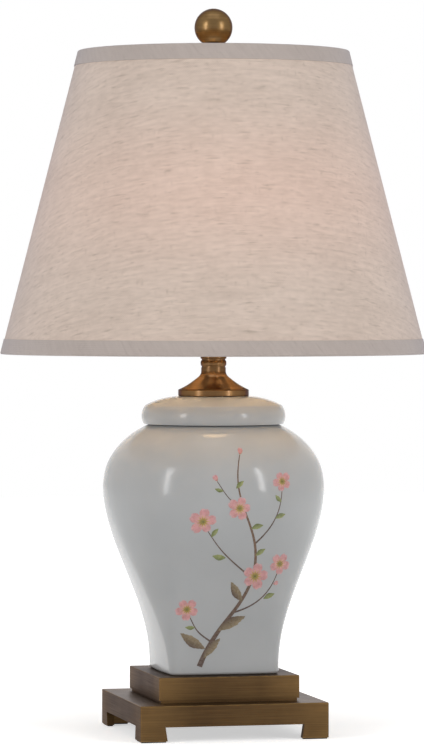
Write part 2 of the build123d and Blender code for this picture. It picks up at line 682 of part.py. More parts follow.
def bulb_glass():
    edges = glass_curve(0) + glass_curve(BULB_GLASS_WALL)
    edges.append(Line((BULB_NECK_RADIUS - BULB_GLASS_WALL, glass_z), (BULB_NECK_RADIUS, glass_z)))
    edges.append(Line((0, glass_top_z - BULB_GLASS_WALL), (0, glass_top_z)))
    return turned_from(edges)


def shade_radius(z):
    """Radius of the cover's outside at a height."""
    return SHADE_BOTTOM_RADIUS + (SHADE_TOP_RADIUS - SHADE_BOTTOM_RADIUS) * (z - shade_z) / SHADE_HEIGHT


def cone_layer(outside, inside):
    """A cone layer between two insets from the cover's outside."""
    low = shade_radius(shade_z)
    high = shade_radius(shade_top_z)
    return turned((low - outside, shade_z), (high - outside, shade_top_z),
                  (high - inside, shade_top_z), (low - inside, shade_z))


def shade_cover():
    return cone_layer(0, COVER_THICKNESS)


def shade_liner():
    outside = COVER_THICKNESS + BOND_GAP
    return cone_layer(outside, outside + LINER_THICKNESS)


def ring_inset():
    """How far the middle of a shade ring's wire lies inside the cover's outside."""
    lean = (SHADE_BOTTOM_RADIUS - SHADE_TOP_RADIUS) / SHADE_HEIGHT
    return COVER_THICKNESS + 2 * BOND_GAP + LINER_THICKNESS + RING_RADIUS * math.hypot(1, lean)


def trim(edge_z, away):
    """A folded band round an edge of the shade. away is 1 at the top edge and -1 at the bottom one."""
    inner = ring_inset() + RING_RADIUS + 2 * BOND_GAP
    outer_leaf = edge_z - away * TRIM_WIDTH
    inner_leaf = edge_z - away * TRIM_FOLD
    near = edge_z + away * BOND_GAP
    far = near + away * TRIM_THICKNESS
    return turned(
        (shade_radius(outer_leaf) + BOND_GAP + TRIM_THICKNESS, outer_leaf),
        (shade_radius(edge_z) + BOND_GAP + TRIM_THICKNESS, far),
        (shade_radius(edge_z) - inner - TRIM_THICKNESS, far),
        (shade_radius(inner_leaf) - inner - TRIM_THICKNESS, inner_leaf),
        (shade_radius(inner_leaf) - inner, inner_leaf),
        (shade_radius(edge_z) - inner, near),
        (shade_radius(edge_z) + BOND_GAP, near),
        (shade_radius(outer_leaf) + BOND_GAP, outer_leaf))


def top_ring_z():
    return shade_top_z - RING_RADIUS - BOND_GAP


def spider_arm(angle, radius):
    """A straight arm from the hub up to the top ring."""
    start = Vector(ARM_START, 0, (hub_z + hub_top_z) / 2)
    end = Vector(shade_radius(top_ring_z()) - ring_inset(), 0, top_ring_z())
    bar = Cylinder(radius, (end - start).length, align=(Align.CENTER, Align.CENTER, Align.MIN))
    arm = Plane(origin=start, z_dir=end - start) * bar
    return Rot(0, 0, angle) * arm


def shade_spider():
    hub = tube(HUB_RADIUS, STUD_RADIUS + HUB_FIT, hub_z, hub_top_z)
    ring = Pos(0, 0, top_ring_z()) * Torus(shade_radius(top_ring_z()) - ring_inset(), RING_RADIUS)
    arms = [spider_arm(angle, ARM_RADIUS) for angle in ARM_ANGLES]
    return ring + arms + hub


def shade_top_trim():
    band = trim(shade_top_z, 1)
    for angle in ARM_ANGLES:
        band -= spider_arm(angle, ARM_RADIUS + ARM_CLEARANCE)
    return band


def shade_bottom_ring():
    ring_z = shade_z + RING_RADIUS + BOND_GAP
    return Pos(0, 0, ring_z) * Torus(shade_radius(ring_z) - ring_inset(), RING_RADIUS)


def finial_stem():
    foot_top = stem_z + STEM_FOOT_HEIGHT
    waist_z = (foot_top + stem_top_z) / 2
    bore = STUD_RADIUS + SHAFT_FIT
    bore_top = stem_z + STUD_LENGTH - HUB_THICKNESS
    spigot_top = stem_top_z + STEM_SPIGOT_HEIGHT
    edges = [
        Polyline((bore, stem_z), (STEM_FOOT_RADIUS, stem_z), (STEM_FOOT_RADIUS, foot_top)),
        ThreePointArc((STEM_FOOT_RADIUS, foot_top), (STEM_WAIST_RADIUS, waist_z),
                      (STEM_FOOT_RADIUS, stem_top_z - STEM_REST)),
        Polyline((STEM_FOOT_RADIUS, stem_top_z - STEM_REST), (STEM_SPIGOT_RADIUS, stem_top_z - STEM_REST),
                 (STEM_SPIGOT_RADIUS, spigot_top), (0, spigot_top), (0, bore_top), (bore, bore_top),
                 (bore, stem_z)),
    ]
    return turned_from(edges)


def finial_ball():
    ball = Sphere(BALL_RADIUS) - Sphere(BALL_RADIUS - BALL_WALL)
    return Pos(0, 0, ball_z) * ball - disc(spigot_hole, stem_z, ball_z)


pieces = {
    "foot_pads": foot_pads(),
    "lower_plinth": lower_plinth(),
    "bottom_felt": notched_sheet(felt_z, board_z),
    "bottom_board": notched_sheet(board_z, board_z + BOARD_THICKNESS),
    "ballast_plate": ballast_plate(),
    "rod_washer": tube(WASHER_RADIUS, rod_hole, washer_z, ballast_z),
    "rod_lock_washer": tube(LOCK_WASHER_RADIUS, rod_hole, lock_washer_z, washer_z),
    "rod_nut": rod_nut(),
    "threaded_rod": threaded_rod(),
    "cord_bushing": cord_bushing(),
    "cord_bushing_nut": cord_bushing_nut(),
    "upper_tier": upper_tier(),
    "jar_pad": jar_pad(),
    "jar": jar(),
    "lid_ring": lid_ring(),
    "lid": lid(),
    "neck": neck(),
    "neck_collar": neck_collar(),
    "harp_saddle": harp_saddle(),
    "harp": harp(),
    "harp_stud": harp_stud(),
    "harp_sleeve_left": harp_sleeve(-1),
    "harp_sleeve_right": harp_sleeve(1),
    "socket_cap": socket_cap(),
    "socket_set_screw": socket_set_screw(),
    "socket_shell": socket_shell(),
    "socket_liner": socket_liner(),
    "socket_body": socket_body(),
    "terminal_screws": terminal_screws(),
    "socket_thread": socket_thread(),
    "centre_contact": centre_contact(),
    "switch_shaft": switch_shaft(),
    "switch_knob": switch_knob(),
    "bulb_cap": bulb_cap(),
    "bulb_glass": bulb_glass(),
    "shade_liner": shade_liner(),
    "shade_cover": shade_cover(),
    "shade_top_trim": shade_top_trim(),
    "shade_bottom_trim": trim(shade_z, -1),
    "shade_spider": shade_spider(),
    "shade_bottom_ring": shade_bottom_ring(),
    "finial_stem": finial_stem(),
    "finial_ball": finial_ball(),
}

os.makedirs("parts", exist_ok=True)
for name, shape in pieces.items():
    export_step(shape, f"parts/{name}.step")
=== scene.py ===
import math
import random

import bmesh
import bpy
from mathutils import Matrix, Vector


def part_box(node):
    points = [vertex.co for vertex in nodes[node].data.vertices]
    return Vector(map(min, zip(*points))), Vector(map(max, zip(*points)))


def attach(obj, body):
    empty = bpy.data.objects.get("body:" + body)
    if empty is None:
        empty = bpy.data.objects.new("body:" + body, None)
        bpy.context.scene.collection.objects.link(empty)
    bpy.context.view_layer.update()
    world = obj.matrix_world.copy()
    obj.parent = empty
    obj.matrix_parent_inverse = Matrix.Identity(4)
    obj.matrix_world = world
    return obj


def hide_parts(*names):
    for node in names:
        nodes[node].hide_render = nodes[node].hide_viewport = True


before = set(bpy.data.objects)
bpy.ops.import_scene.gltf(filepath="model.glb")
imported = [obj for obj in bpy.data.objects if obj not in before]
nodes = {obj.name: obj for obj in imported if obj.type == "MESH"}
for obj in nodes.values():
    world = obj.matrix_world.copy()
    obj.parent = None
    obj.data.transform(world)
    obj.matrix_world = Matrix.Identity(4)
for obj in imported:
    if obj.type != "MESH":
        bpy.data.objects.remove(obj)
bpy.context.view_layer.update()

scene = bpy.context.scene
scene.view_settings.view_transform = "Standard"
millimetre = 0.001
onPlane = 1e-6  # two heights closer than this are one
print("frame loaded:", len(nodes), "nodes")


def tone(red, green, blue):
    # a screen colour, 0 to 255, as the shader's linear colour
    parts = [value / 255 for value in (red, green, blue)]
    linear = [p / 12.92 if p <= 0.04045 else ((p + 0.055) / 1.055) ** 2.4 for p in parts]
    return (*linear, 1.0)


# selecting and finishing, as by hand

def deselectAll():
    if bpy.context.object and bpy.context.object.mode != "OBJECT":
        bpy.ops.object.mode_set(mode="OBJECT")
    bpy.ops.object.select_all(action="DESELECT")


def justMade(name):
    piece = bpy.context.object
    piece.name = name
    piece.data.name = name
    return piece


def only(piece):
    deselectAll()
    piece.select_set(True)
    bpy.context.view_layer.objects.active = piece


def editing(piece):
    only(piece)
    bpy.ops.object.mode_set(mode="EDIT")


def done():
    bpy.ops.object.mode_set(mode="OBJECT")


def pickAll():
    bpy.ops.mesh.select_all(action="SELECT")


def pick(piece, kind, test):
    # selects faces, edges or vertices of the piece being edited, by a test on each
    bpy.ops.mesh.select_mode(type=kind)
    bpy.ops.mesh.select_all(action="DESELECT")
    work = bmesh.from_edit_mesh(piece.data)
    items = {"VERT": work.verts, "EDGE": work.edges, "FACE": work.faces}[kind]
    for item in items:
        if test(item):
            item.select_set(True)
    work.select_flush_mode()
    bmesh.update_edit_mesh(piece.data)


def rise(edge):
    return abs(edge.verts[0].co.z - edge.verts[1].co.z)


def scaled(across, deep=1.0, height=0.0):
    # scales the picked part about the upright axis
    bpy.ops.transform.resize(value=(across, deep, 1), center_override=(0, 0, height))


def cutAt(point, normal):
    pickAll()
    bpy.ops.mesh.bisect(plane_co=point, plane_no=normal)


def faceOutward():
    pickAll()
    bpy.ops.mesh.normals_make_consistent(inside=False)


def smoothShaded(piece, degrees=40):
    only(piece)
    bpy.ops.object.shade_smooth_by_angle(angle=math.radians(degrees))


def addModifier(piece, kind, **settings):
    only(piece)
    modifier = piece.modifiers.new(kind.title(), kind)
    for key, value in settings.items():
        setattr(modifier, key, value)
    bpy.ops.object.modifier_apply(modifier=modifier.name)


def settle(piece):
    only(piece)
    bpy.ops.object.transform_apply(location=True, rotation=True, scale=True)


def joined(pieces, name):
    deselectAll()
    for piece in pieces:
        piece.select_set(True)
    bpy.context.view_layer.objects.active = pieces[0]
    if len(pieces) > 1:
        bpy.ops.object.join()
    return justMade(name)


# material helpers
usualNoise = (0.3, 0.7)  # most of a noise's values lie between these
busyNoise = (0.35, 0.65)  # a narrower span, for more contrast


def startMaterial(name):
    material = bpy.data.materials.new(name)
    material.use_nodes = True
    return material, material.node_tree, material.node_tree.nodes["Principled BSDF"]


def put(tree, kind, feeds=None, **settings):
    # one node: settings on it, feeds into its sockets as values or links
    made = tree.nodes.new("ShaderNode" + kind)
    for key, value in settings.items():
        setattr(made, key, value)
    for key, value in (feeds or {}).items():
        plug(tree, made.inputs[key], value)
    return made


def plug(tree, socket, value):
    if isinstance(value, bpy.types.NodeSocket):
        tree.links.new(value, socket)
    else:
        socket.default_value = value


def feed(tree, shader, **sockets):
    for key, value in sockets.items():
        plug(tree, shader.inputs[key.replace("_", " ")], value)


def sums(tree, how, first, second=0.0):
    return put(tree, "Math", {0: first, 1: second}, operation=how).outputs[0]


def weighed(tree, *pairs, clamp=False):
    # the sum of each value times its share
    total = 0.0
    for value, share in pairs:
        step = put(tree, "Math", {0: value, 1: share, 2: total}, operation="MULTIPLY_ADD")
        total = step.outputs[0]
    step.use_clamp = clamp
    return total


def place(tree):
    return put(tree, "TexCoord").outputs["Object"]


def axes(tree, vector):
    return put(tree, "SeparateXYZ", {0: vector}).outputs


def stretched(tree, vector, scale, turn=0.0):
    return put(tree, "Mapping", {"Vector": vector, "Scale": scale, "Rotation": (0, 0, turn)}).outputs[0]


def noise(tree, vector, scale, detail=3.0, rough=0.5):
    feeds = {"Vector": vector, "Scale": scale, "Detail": detail, "Roughness": rough}
    return put(tree, "TexNoise", feeds).outputs[0]


def streaks(tree, vector, scales, detail, rough):
    # a noise drawn out by its own scale on each axis
    return noise(tree, stretched(tree, vector, scales), 1.0, detail, rough)


def between(tree, value, low, high, toLow=0.0, toHigh=1.0, shape="LINEAR"):
    feeds = {"Value": value, "From Min": low, "From Max": high, "To Min": toLow, "To Max": toHigh}
    return put(tree, "MapRange", feeds, clamp=True, interpolation_type=shape).outputs[0]


def mixed(tree, share, first, second, how="MIX"):
    made = put(tree, "Mix", {0: share, 6: first, 7: second}, data_type="RGBA", blend_type=how)
    return made.outputs[2]


def mixedValue(tree, share, first, second):
    return put(tree, "Mix", {0: share, 2: first, 3: second}).outputs[0]


def blended(tree, first, second):
    return weighed(tree, (first, 0.5), (second, 0.5))


def mottled(tree, value, looks):
    return mixed(tree, between(tree, value, *busyNoise), tone(*looks["dark"]), tone(*looks["light"]))


def bumped(tree, shader, height, depth, strength):
    bump = put(tree, "Bump", {"Height": height, "Distance": depth, "Strength": strength})
    tree.links.new(bump.outputs[0], shader.inputs["Normal"])


def finishNode(material, *names):
    for name in names:
        for slot in nodes[name].material_slots:
            slot.material = material


# studio: camera, lamps, white surround and floor
studio = {
    "azimuth": -13.1,  # degrees round from the front, to the left
    "distance": 3.870,
    "eyeHeight": 0.4078,
    "lens": 198.9,
    "aimHeight": 0.3388,
    "aimLeft": 0.0014,
    "ambient": 0.2,
    "lampAim": 0.33,  # height that all the lamps point at
    "lamps": (  # the fills aren't mirrored in metal and glaze
        {"name": "leftSoftbox", "turn": -49, "height": 0.9, "away": 2.2, "size": (0.26, 1.5),
         "watts": 18.5},
        {"name": "rightSoftbox", "turn": 51, "height": 0.9, "away": 2.2, "size": (0.22, 1.5),
         "watts": 18.5},
        {"name": "leftFill", "turn": -94, "height": 0.8, "away": 2.0, "size": (1.2, 1.6), "watts": 3,
         "mirrored": False},
        {"name": "rightFill", "turn": 94, "height": 0.8, "away": 2.0, "size": (1.2, 1.6), "watts": 4,
         "mirrored": False},
        {"name": "topPanel", "turn": 0, "height": 2.5, "away": 0.5, "size": (1.8, 1.4), "watts": 7},
    ),
    "floorSize": 9.0,
    "floorTint": (0.86, 0.86, 0.86, 1),
    "paperScale": 3.0,
    "paperDim": (0.96, 1.0),
    "floorRough": 0.9,
    "floorGloss": 0.1,
    "floorLift": 0.55,
    "whiteFrom": (0.1, 0.75),  # floor distances between which its lift rises to plain white
}


def aimed(start, target):
    return (Vector(target) - Vector(start)).to_track_quat("-Z", "Y").to_euler()


def around(turn, away, height):
    angle = math.radians(studio["azimuth"] + turn)
    return (math.sin(angle) * away, -math.cos(angle) * away, height)


def buildStudio():
    angle = math.radians(studio["azimuth"])
    eye = around(0, studio["distance"], studio["eyeHeight"])
    left = studio["aimLeft"]
    aim = (-left * math.cos(angle), -left * math.sin(angle), studio["aimHeight"])
    bpy.ops.object.camera_add(location=eye, rotation=aimed(eye, aim))
    camera = bpy.context.object
    camera.name = "camera"
    camera.data.lens = studio["lens"]
    scene.camera = camera
    for lamp in studio["lamps"]:
        spot = around(lamp["turn"], lamp["away"], lamp["height"])
        rotation = aimed(spot, (0, 0, studio["lampAim"]))
        bpy.ops.object.light_add(type="AREA", location=spot, rotation=rotation)
        light = bpy.context.object
        light.name = lamp["name"]
        light.data.shape = "RECTANGLE"
        light.data.size, light.data.size_y = lamp["size"]
        light.data.energy = lamp["watts"]
        light.visible_glossy = lamp.get("mirrored", True)


def shownRay(tree):
    # 1 for rays that show the surround, seen straight on or in metal and glass
    path = put(tree, "LightPath")
    seen = sums(tree, "MAXIMUM", path.outputs["Is Camera Ray"], path.outputs["Is Glossy Ray"])
    return sums(tree, "MAXIMUM", seen, path.outputs["Is Transmission Ray"])


def floorMaterial():
    material, tree, shader = startMaterial("paleFloor")
    spot = place(tree)
    paper = between(tree, noise(tree, spot, studio["paperScale"]), *usualNoise, *studio["paperDim"])
    colour = mixed(tree, 1.0, studio["floorTint"], paper, "MULTIPLY")
    away = put(tree, "VectorMath", {0: spot}, operation="LENGTH").outputs["Value"]
    lift = between(tree, away, *studio["whiteFrom"], studio["floorLift"], 1.0)
    lift = sums(tree, "MULTIPLY", shownRay(tree), lift)
    feed(tree, shader, Base_Color=colour, Roughness=studio["floorRough"], Emission_Color=(1, 1, 1, 1),
         Emission_Strength=lift, Specular_IOR_Level=studio["floorGloss"])
    return material


def buildSurround():
    world = bpy.data.worlds.new("whiteSurround")
    world.use_nodes = True
    scene.world = world
    tree = world.node_tree
    strength = between(tree, shownRay(tree), 0.0, 1.0, studio["ambient"], 1.0)
    feed(tree, tree.nodes["Background"], Color=(1, 1, 1, 1), Strength=strength)
    deselectAll()
    bpy.ops.mesh.primitive_plane_add(size=studio["floorSize"])
    floor = justMade("floor")
    floor.data.materials.append(floorMaterial())


buildStudio()
buildSurround()
print("studio ready")


# porcelain: clear glaze over a pale grey-white body
porcelain = {
    "body": (182, 184, 185),
    "shade": (177, 179, 180),
    "cloudScale": 16.0,
    "speck": (152, 148, 140),
    "speckScale": 900.0,
    "speckFrom": (0.77, 0.82),
    "speckShare": 0.5,
    "rough": (0.13, 0.18),
    "roughScale": 40.0,
    "gloss": 0.22,
    "waveScale": 30.0,
    "wave": (0.4 * millimetre, 0.35),  # depth and strength
}


def porcelainGlaze():
    material, tree, shader = startMaterial("porcelain_glaze")
    spot = place(tree)
    cloud = between(tree, noise(tree, spot, porcelain["cloudScale"], 4.0), *busyNoise)
    body = mixed(tree, cloud, tone(*porcelain["shade"]), tone(*porcelain["body"]))
    dust = noise(tree, spot, porcelain["speckScale"], 1.0)
    specks = between(tree, dust, *porcelain["speckFrom"], 0.0, porcelain["speckShare"])
    colour = mixed(tree, specks, body, tone(*porcelain["speck"]))
    rough = between(tree, noise(tree, spot, porcelain["roughScale"], 2.0), *usualNoise, *porcelain["rough"])
    feed(tree, shader, Base_Color=colour, Roughness=rough, Specular_IOR_Level=porcelain["gloss"])
    bumped(tree, shader, noise(tree, spot, porcelain["waveScale"], 2.0), *porcelain["wave"])
    return material


finishNode(porcelainGlaze(), "jar", "lid")
print("porcelain glazed")


# painted spray: overglaze enamel on the jar's front, in millimetres across and up from the jar's foot
spray = {
    "stems": (  # points, then the width at the start and at the tip
        (((-26, 8), (-16, 34), (6, 60), (22, 92), (19, 128), (3, 158), (-4, 186), (3, 206)), 5.2, 0.8),
        (((5, 59), (24, 65), (39, 80), (45, 101)), 1.7, 0.7),
        (((20, 90), (4, 102), (-16, 118), (-31, 142)), 1.8, 0.7),
        (((18, 124), (33, 138), (42, 156), (43, 177)), 1.6, 0.7),
        (((-17, 32), (-30, 41), (-39, 59)), 1.7, 0.7),
        (((4, 156), (-10, 166), (-20, 182)), 1.2, 0.6),
    ),
    "taper": 0.7,
    "flowers": (  # middle across, middle up, reach
        (45, 104, 11.5), (21, 93, 14), (-32, 145, 13), (43, 181, 11), (1, 157, 12.5), (-40, 62, 11.5),
    ),
    # leaves and buds: foot across, foot up, length, lean from upright
    "broadLeaves": ((-20, 24, 30, -62), (-11, 41, 31, 58), (-23, 15, 26, 35), (12, 68, 25, -38)),
    "greenLeaves": (
        (31, 71, 13, 62), (36, 147, 12, 65), (12.6, 138, 13, 70), (-8, 111, 14, -88), (19.3, 112, 12, 48),
        (-3, 175, 11, 40), (-14, 173, 9, -80), (-31, 45, 10, -95), (42.6, 162, 10, -50), (-24, 130, 11, 30),
    ),
    "buds": ((-20, 182, 7, -25), (3, 206, 7, 15), (40, 85, 6, 75)),
    "budLeaf": (0.7, 20),  # share of the bud's length, and further lean
    "stemTones": ((82, 62, 52), (112, 86, 66)),
    "stemFade": 120 * millimetre,  # height over which a stem takes its second tone
    "petalTones": ((178, 106, 98), (206, 156, 152), (200, 142, 142), (208, 174, 174)),
    "heartTones": ((98, 96, 44), (166, 142, 66), (216, 184, 108)),
    "broadTones": ((74, 52, 44), (116, 100, 76), (146, 130, 102)),
    "greenTones": ((92, 102, 52), (150, 156, 102)),
    "front": -0.16,  # plane in front of the jar, from which the drawing is laid on it
    "sunk": 0.2 * millimetre,
    "raised": {"stems": 0.1, "leaves": 0.13, "petals": 0.17, "hearts": 0.24},  # mm of enamel over the glaze
    "seed": 11,
}
petalShape = {
    "count": 5,
    "corners": 18,
    "width": 0.76,
    "foot": ((0.1, 0.9), (-0.35, 0.75), (-0.7, 0.7)),  # below each height, narrower by each share
    "notch": 0.2,
    "notchAbove": 0.8,
    "sizes": (0.88, 1.06),
}
heartShape = {"corners": 22, "dip": 0.42, "share": 0.46}
leafShape = {
    "corners": 20,
    "ends": ((0.35, 0.8), (0.65, 0.7), (0.88, 0.5)),  # beyond each height, narrower by each share
    "bendAbove": (0.2, 0.5, 0.75),
    "bend": 0.14,
    "broad": 0.34,  # widths as shares of the length
    "green": 0.42,
}


def tint(piece, tones, share):
    # each point's colour along a row of tones, by its place in the drawn shape
    paint = piece.data.color_attributes.new(name="enamel", type="FLOAT_COLOR", domain="POINT")
    row = [tone(*colour) for colour in tones]
    for point, spot in zip(piece.data.vertices, paint.data):
        along = min(1.0, max(0.0, share(point.co))) * (len(row) - 1)
        first = min(int(along), len(row) - 2)
        spot.color = tuple(a + (b - a) * (along - first) for a, b in zip(row[first], row[first + 1]))


def drawStem(points, wide, thin):
    # a brush line: a flat curve with a short line as its section, tapering to the tip
    deselectAll()
    bpy.ops.curve.primitive_nurbs_path_add(radius=millimetre / 4)  # a path is four radii long
    section = bpy.context.object
    section.data.resolution_u = 1
    deselectAll()
    bpy.ops.curve.primitive_nurbs_path_add()
    line = bpy.context.object
    line.data.dimensions = "2D"
    path = line.data.splines[0]
    path.points.add(max(0, len(points) - len(path.points)))
    last = len(path.points) - 1
    for index, point in enumerate(path.points):
        along = index / last * (len(points) - 1)
        first = min(int(along), len(points) - 2)
        x, z = (a + (b - a) * (along - first) for a, b in zip(points[first], points[first + 1]))
        point.co = (x * millimetre, z * millimetre, 0, 1)
        point.radius = wide + (thin - wide) * (index / last) ** spray["taper"]
    path.order_u = 4
    path.use_endpoint_u = True
    line.data.resolution_u = 14
    line.data.bevel_mode = "OBJECT"
    line.data.bevel_object = section
    only(line)
    bpy.ops.object.convert(target="MESH")
    stroke = bpy.context.object
    bpy.data.objects.remove(section)
    low = points[0][1] * millimetre
    tint(stroke, spray["stemTones"], lambda spot: (spot.y - low) / spray["stemFade"])
    return stroke


def drawDisc(corners):
    deselectAll()
    bpy.ops.mesh.primitive_circle_add(vertices=corners, radius=1, fill_type="TRIFAN", calc_uvs=False)
    disc = bpy.context.object
    editing(disc)
    return disc


def softened():
    pickAll()
    bpy.ops.mesh.vertices_smooth(factor=0.5, repeat=1)


def drawPetal():
    notch = petalShape["notch"]
    petal = drawDisc(petalShape["corners"])
    bpy.ops.mesh.subdivide(number_cuts=2)
    scaled(petalShape["width"])
    for below, slim in petalShape["foot"]:
        pick(petal, "VERT", lambda vert: vert.co.y < below)
        scaled(slim)
    pick(petal, "VERT", lambda vert: vert.co.y > petalShape["notchAbove"] and abs(vert.co.x) < notch)
    bpy.ops.transform.translate(value=(0, -notch, 0))
    softened()
    bpy.ops.transform.translate(value=(0, 1, 0))  # foot at the origin
    done()
    tint(petal, spray["petalTones"], lambda spot: spot.y / 2)
    return petal


def drawHeart():
    heart = drawDisc(heartShape["corners"])
    pick(heart, "VERT", lambda vert: vert.index % 2 and vert.co.length > 0.5)
    scaled(heartShape["dip"], heartShape["dip"])
    pickAll()
    bpy.ops.mesh.subdivide(number_cuts=1)
    done()
    tint(heart, spray["heartTones"], lambda spot: spot.length)
    return heart


def drawLeaf(kind):
    width = leafShape[kind]
    leaf = drawDisc(leafShape["corners"])
    bpy.ops.mesh.subdivide(number_cuts=2)
    for beyond, slim in leafShape["ends"]:
        pick(leaf, "VERT", lambda vert: abs(vert.co.y) > beyond)
        scaled(slim)
    for above in leafShape["bendAbove"]:
        pick(leaf, "VERT", lambda vert: vert.co.y > above)
        bpy.ops.transform.translate(value=(leafShape["bend"], 0, 0))
    softened()
    scaled(width / 2, 0.5)
    bpy.ops.transform.translate(value=(0, 0.5, 0))  # foot at the origin
    done()
    tint(leaf, spray[kind + "Tones"], lambda spot: 0.5 + spot.x / width)
    return leaf


def copied(shape, across, up, size, lean):
    only(shape)
    bpy.ops.object.duplicate()
    copy = bpy.context.object
    copy.scale = (size * millimetre, size * millimetre, 1)
    copy.rotation_euler = (0, 0, -math.radians(lean))
    copy.location = (across * millimetre, up * millimetre, 0)
    settle(copy)
    return copy


def layOnJar(shapes, name):
    # stands the drawing up, presses it on the jar and gives the enamel its thickness
    raised = spray["raised"][name] * millimetre
    layer = joined(shapes, name)
    layer.rotation_euler = (math.radians(90), 0, 0)
    layer.location = (0, spray["front"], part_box("jar")[0].z)
    settle(layer)
    addModifier(layer, "SHRINKWRAP", target=nodes["jar"], wrap_method="PROJECT", use_project_y=True,
                use_positive_direction=True, use_negative_direction=False)
    depth = spray["sunk"] + raised
    addModifier(layer, "SOLIDIFY", thickness=depth, offset=2 * raised / depth - 1)
    return layer


enamel = {"washScale": 240.0, "wash": (0.84, 1.12), "roughScale": 300.0, "rough": (0.22, 0.34),
          "bump": (0.08 * millimetre, 0.4)}


def enamelMaterial():
    material, tree, shader = startMaterial("overglaze_enamel")
    spot = place(tree)
    paint = put(tree, "VertexColor", layer_name="enamel").outputs["Color"]
    wash = between(tree, noise(tree, spot, enamel["washScale"], 4.0, 0.6), *usualNoise, *enamel["wash"])
    colour = mixed(tree, 1.0, paint, wash, "MULTIPLY")
    rough = between(tree, noise(tree, spot, enamel["roughScale"], 2.0), *usualNoise, *enamel["rough"])
    feed(tree, shader, Base_Color=colour, Roughness=rough)
    bumped(tree, shader, wash, *enamel["bump"])
    return material


def buildSpray():
    draw = random.Random(spray["seed"])
    petal, heart = drawPetal(), drawHeart()
    broad, green = drawLeaf("broad"), drawLeaf("green")
    leaves = [copied(broad, *leaf) for leaf in spray["broadLeaves"]]
    leaves += [copied(green, *leaf) for leaf in spray["greenLeaves"]]
    share, further = spray["budLeaf"]
    leaves += [copied(green, across, up, length * share, lean + further)
               for across, up, length, lean in spray["buds"]]
    petals = [copied(petal, across, up, length / 2, lean) for across, up, length, lean in spray["buds"]]
    hearts = []
    step = 360 / petalShape["count"]
    for across, up, reach in spray["flowers"]:
        turn = draw.uniform(0, step)
        for index in range(petalShape["count"]):
            size = reach / 2 * draw.uniform(*petalShape["sizes"])
            petals.append(copied(petal, across, up, size, turn + step * index))
        hearts.append(copied(heart, across, up, reach * heartShape["share"], turn))
    stems = [drawStem(*stem) for stem in spray["stems"]]
    drawn = {"stems": stems, "leaves": leaves, "petals": petals, "hearts": hearts}
    layers = [layOnJar(shapes, name) for name, shapes in drawn.items()]
    for shape in (petal, heart, broad, green):
        bpy.data.objects.remove(shape)
    piece = joined(layers, "painted_spray")
    smoothShaded(piece)
    piece.data.materials.clear()
    piece.data.materials.append(enamelMaterial())
    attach(piece, "base")
    return piece


painted = buildSpray()
depths = [round(vertex.co.y, 4) for vertex in painted.data.vertices]
print("spray painted:", len(painted.data.polygons), "faces, from", min(depths), "to", max(depths))


# aged brass: brushed flats on the base, turned rings on the neck and finial
agedBrass = {
    "laidFrom": 0.7,  # a face whose normal is steeper than this is a laid one
    "patina": (0.45, 0.75),  # span from the dark tone to the mid one
    "cloudScale": 22.0,
    "cloudShare": 0.45,
    "sideGrain": (14, 14, 1500),
    "laidGrain": (14, 1500, 14),
    "grainShare": 0.75,
    "grainBump": (0.12 * millimetre, 0.5),
    "dark": (64, 48, 32),
    "mid": (86, 66, 42),
    "dull": (0.47, 0.36),
    "dullSpan": (0.4, 0.8),
    "rubbedAndLit": (118, 92, 58),  # towards the corners: partly wear where hands lift it, partly painted light from the side lamps
    "rubbedReach": 0.55,  # of the way in to the middle
    "rubbedShare": 0.6,
    "rubbedInDark": 0.5,  # of that share, where the patina is darkest
    "wornAndGlinting": (150, 122, 78),  # along the edges, in broken lengths: partly wear, partly painted highlight
    "wornWidth": 0.9 * millimetre,
    "cornerHold": 0.55,  # share of that width by which the upright corners get less of it
    "brokenScale": 130.0,
    "brokenFrom": (0.35, 0.6),
    "brokenShare": (0.15, 0.8),
    "shadedGrazing": (0.56, 0.55, 0.57, 1.0),  # painted shade: the reflection at shallow angles is kept dark
    # painted reflection: laid faces reflect brighter at shallow angles, the lower ledge most
    "laidGrazing": {"lower_plinth": (1.0, 0.98, 1.0, 1.0), "upper_tier": (0.74, 0.73, 0.76, 1.0)},
}
turned = {
    "patina": (0.42, 0.72),
    "dullSpan": (0.4, 0.75),
    "cloudScale": 60.0,
    "cloudShare": 0.5,
    "rings": (10, 10, 1900),
    "ringShare": 0.6,
    "ringBump": (0.06 * millimetre, 0.3),
    # painted shade: the reflection at shallow angles is kept dark
    "shadedGrazing": (0.3, 0.25, 0.2, 1.0),
    "coat": 0.25,
    "coatRough": 0.2,
    "ball": {"dark": (86, 66, 38), "mid": (126, 98, 60), "dull": (0.38, 0.3)},
    "neck": {"dark": (84, 58, 31), "mid": (118, 86, 50), "dull": (0.33, 0.285)},
    "flare": {"dark": (150, 114, 78), "mid": (192, 154, 114), "dull": (0.25, 0.2)},  # painted light: brighter, for the lit inside of the shade mirrored in it
    "flareFrom": 6.4 * millimetre,  # above the neck's foot
    "flareTo": 23 * millimetre,
    "flareFade": (1 * millimetre, 6 * millimetre),
}


def fromSides(tree, parts, half):
    # distances in from a block's sides, the larger of which is the distance from its nearest upright corner
    return [sums(tree, "SUBTRACT", half, sums(tree, "ABSOLUTE", parts[axis])) for axis in (0, 1)]


def blockEdges(tree, parts, half, top, low):
    # 1 on a block's upright corners and its upper and lower outer edges, falling off inwards
    size = agedBrass["wornWidth"]
    inX, inY = fromSides(tree, parts, half)
    inZ = sums(tree, "SUBTRACT", top, parts[2])
    upZ = sums(tree, "ABSOLUTE", sums(tree, "SUBTRACT", parts[2], low))
    corner = sums(tree, "ADD", sums(tree, "MAXIMUM", inX, inY), size * agedBrass["cornerHold"])
    rim = sums(tree, "MAXIMUM", sums(tree, "MINIMUM", inX, inY), sums(tree, "MINIMUM", inZ, upZ))
    return between(tree, sums(tree, "MINIMUM", corner, rim), 0.0, size, 1.0, 0.0)


